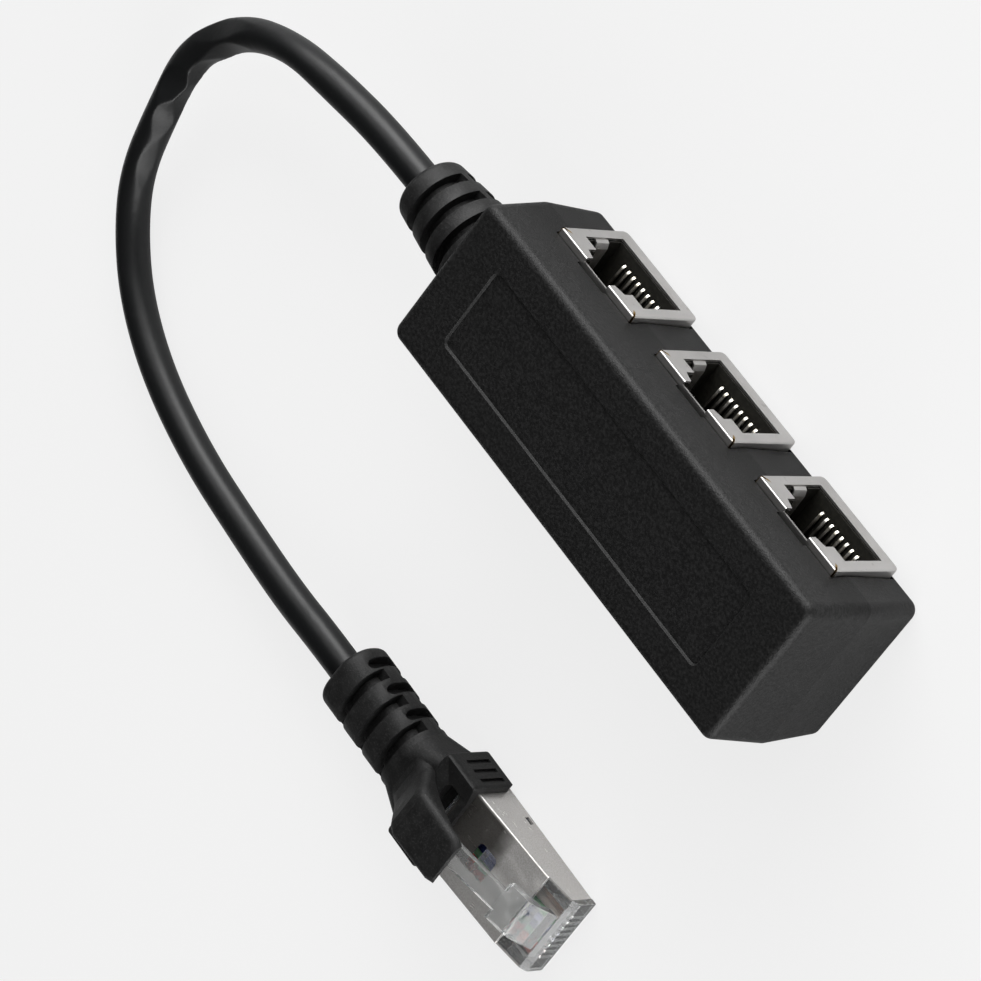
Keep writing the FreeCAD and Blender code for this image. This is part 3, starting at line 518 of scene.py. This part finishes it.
# %% Clear body of the plug
clear = Finish("clear_polycarbonate", IOR=1.58, Transmission_Weight=0.92)
swirl = clear.noise(260)
dimple = clear.noise(1100, 2.0, 0.6)
clear_tone = clear.mix(swirl, (0.90, 0.92, 0.92, 1), (0.96, 0.97, 0.97, 1))
clear_material = clear.varies(Base_Color=clear_tone, Roughness=0.03 + swirl * 0.10,
                              Normal=clear.bump(swirl * 0.3 + dimple * 0.7, 0.00010))
dress(clear_material, "plug_body")

# painted highlight: the rounded edge strips are pale and nearly opaque, so they read as white light lines
edge = Finish("painted_edge_highlight", IOR=1.58, Transmission_Weight=0.10)
edge_highlight_speck = edge.noise(1500)
edge_tone = edge.mix(edge_highlight_speck, grey(0.90), grey(0.97))
edge.varies(Base_Color=edge_tone, Roughness=0.30 + edge_highlight_speck * 0.15)
nodes["plug_body"].data.materials.append(edge.material)

# %% [markdown]
# ## Wires, leads and board
#
# Eight insulated wires lie in the plug in the usual order of colours. Extruded insulation shows fine lines
# along X. The leads and the board are inside the box and are given plain finishes of their own.

# %% Wires, leads and board
wire_colours = {
    "white_orange": (0.82, 0.36, 0.32), "orange": (0.82, 0.12, 0.05), "white_green": (0.32, 0.62, 0.36),
    "blue": (0.04, 0.08, 0.30), "white_blue": (0.38, 0.40, 0.78), "green": (0.03, 0.35, 0.08),
    "white_brown": (0.62, 0.52, 0.45), "brown": (0.20, 0.08, 0.03),
}
for name, colour in wire_colours.items():
    wire = Finish("wire_" + name)
    streak = wire.stretched((0.2, 1, 1), 3000)
    plain = (*colour, 1)
    paler = (*(min(1, c * 1.2 + 0.02) for c in colour), 1)
    wire_tone = wire.mix(streak, plain, paler)
    dress(wire.varies(Base_Color=wire_tone, Roughness=0.35 + streak * 0.15), "wire_" + name)

lead = Finish("lead_insulation")
lead_streak = lead.noise(900)
lead_tone = lead.mix(lead_streak, (0.60, 0.60, 0.58, 1), (0.75, 0.74, 0.70, 1))
dress(lead.varies(Base_Color=lead_tone, Roughness=0.4 + lead_streak * 0.1), "inner_leads")

mask = Finish("board_mask")
weave = mask.noise(900)
mask_tone = mask.mix(weave, (0.012, 0.075, 0.030, 1), (0.020, 0.110, 0.045, 1))
dress(mask.varies(Base_Color=mask_tone, Roughness=0.3 + weave * 0.15), "circuit_board")
print("finishes:", len([m for m in bpy.data.materials if m.users]))

# %% [markdown]
# ## Floor
#
# The object lies on a pale sheet. The sheet takes the soft shadow, and the camera sees it paler and more
# even than the object does, because most of what the camera sees is a plain glow. So the background stays
# pale without bleaching the object. Only the camera's own rays get this glow.

# %% Floor
floor_finish = Finish("pale_floor", Specular_IOR_Level=0.2)
tooth = floor_finish.noise(60)
floor_tone = floor_finish.mix(tooth, grey(0.67), grey(0.69))
floor_finish.varies(Base_Color=floor_tone, Roughness=0.75 + tooth * 0.05)
floor_tree = floor_finish.tree
seen = floor_finish.node("ShaderNodeLightPath")
glow = floor_finish.node("ShaderNodeEmission", None, {"Color": grey(0.97)})["Emission"]
pale = floor_finish.node("ShaderNodeMixShader", None, {0: 0.80, 2: glow})
choice = floor_finish.node("ShaderNodeMixShader", None, {0: seen["Is Camera Ray"], 2: pale["Shader"]})
for mixed in (pale, choice):
    floor_tree.links.new(floor_finish.shader.outputs[0], mixed["Shader"].socket.node.inputs[1])
floor_tree.links.new(choice["Shader"].socket, floor_tree.nodes["Material Output"].inputs[0])

floor_reach = 3.0        # metres to each side
floor_gap = 0.0002       # metres under the object, so that no two faces share a plane
sheet = bmesh.new()
bmesh.ops.create_grid(sheet, x_segments=1, y_segments=1, size=floor_reach)
floor_mesh = bpy.data.meshes.new("floor")
sheet.to_mesh(floor_mesh)
sheet.free()
floor_mesh.materials.append(floor_finish.material)
floor = bpy.data.objects.new("floor", floor_mesh)
floor_mesh.transform(Matrix.Translation((0, 0, -floor_gap)))
bpy.context.scene.collection.objects.link(floor)

# %% [markdown]
# ## Light
#
# Black plastic shows what it mirrors more than its own colour. The long and the end faces mirror the pale
# floor and look grey, while the upper face mirrors a darker part of the room and looks black. Two low
# softboxes, one for each visible side, draw the bright lines along the rounded edges. A weaker one, wide
# and high on the side of the sockets, widens the lights on the cord. The world is bright at the horizon
# and dim above, and the camera's own rays see it white.

# %% Light
softboxes = [
    # name, direction it stands in, metres away, metres wide, metres high, watts
    ("side_light", (-0.455, 0.84, 0.32), 0.80, 0.70, 0.46, 6.1),
    ("high_light", (-0.36, 0.94, 0.72), 0.95, 1.75, 1.15, 8.5),
    ("end_light", (0.88, -0.32, 0.30), 0.80, 0.95, 0.56, 7.2),
]
lit_place = Vector((-0.02, -0.02, 0.01))


def softbox(name, direction, distance, width, height, power):
    """A rectangle of light that looks at the object."""
    data = bpy.data.lights.new(name, "AREA")
    data.shape = "RECTANGLE"
    data.size = width
    data.size_y = height
    data.energy = power
    lamp = bpy.data.objects.new(name, data)
    way = Vector(direction).normalized()
    lamp.location = lit_place + way * distance
    lamp.rotation_euler = way.to_track_quat("Z", "Y").to_euler()
    bpy.context.scene.collection.objects.link(lamp)


for row in softboxes:
    softbox(*row)

world = bpy.data.worlds.new("studio")
world.use_nodes = True
bpy.context.scene.world = world
sky = world.node_tree
background = sky.nodes["Background"]
coordinates = sky.nodes.new("ShaderNodeTexCoord")
split = sky.nodes.new("ShaderNodeSeparateXYZ")
spread = sky.nodes.new("ShaderNodeMapRange")
spread.inputs["From Min"].default_value = 0.0     # the horizon
spread.inputs["From Max"].default_value = 0.9     # nearly straight up
spread.inputs["To Min"].default_value = 1.1
spread.inputs["To Max"].default_value = 0.22
path_kind = sky.nodes.new("ShaderNodeLightPath")
pick = sky.nodes.new("ShaderNodeMix")
pick.inputs[3].default_value = 1.0                # white, for the camera
sky.links.new(coordinates.outputs["Generated"], split.inputs[0])
sky.links.new(split.outputs["Z"], spread.inputs["Value"])
sky.links.new(path_kind.outputs["Is Camera Ray"], pick.inputs[0])
sky.links.new(spread.outputs["Result"], pick.inputs[2])
sky.links.new(pick.outputs[0], background.inputs["Strength"])
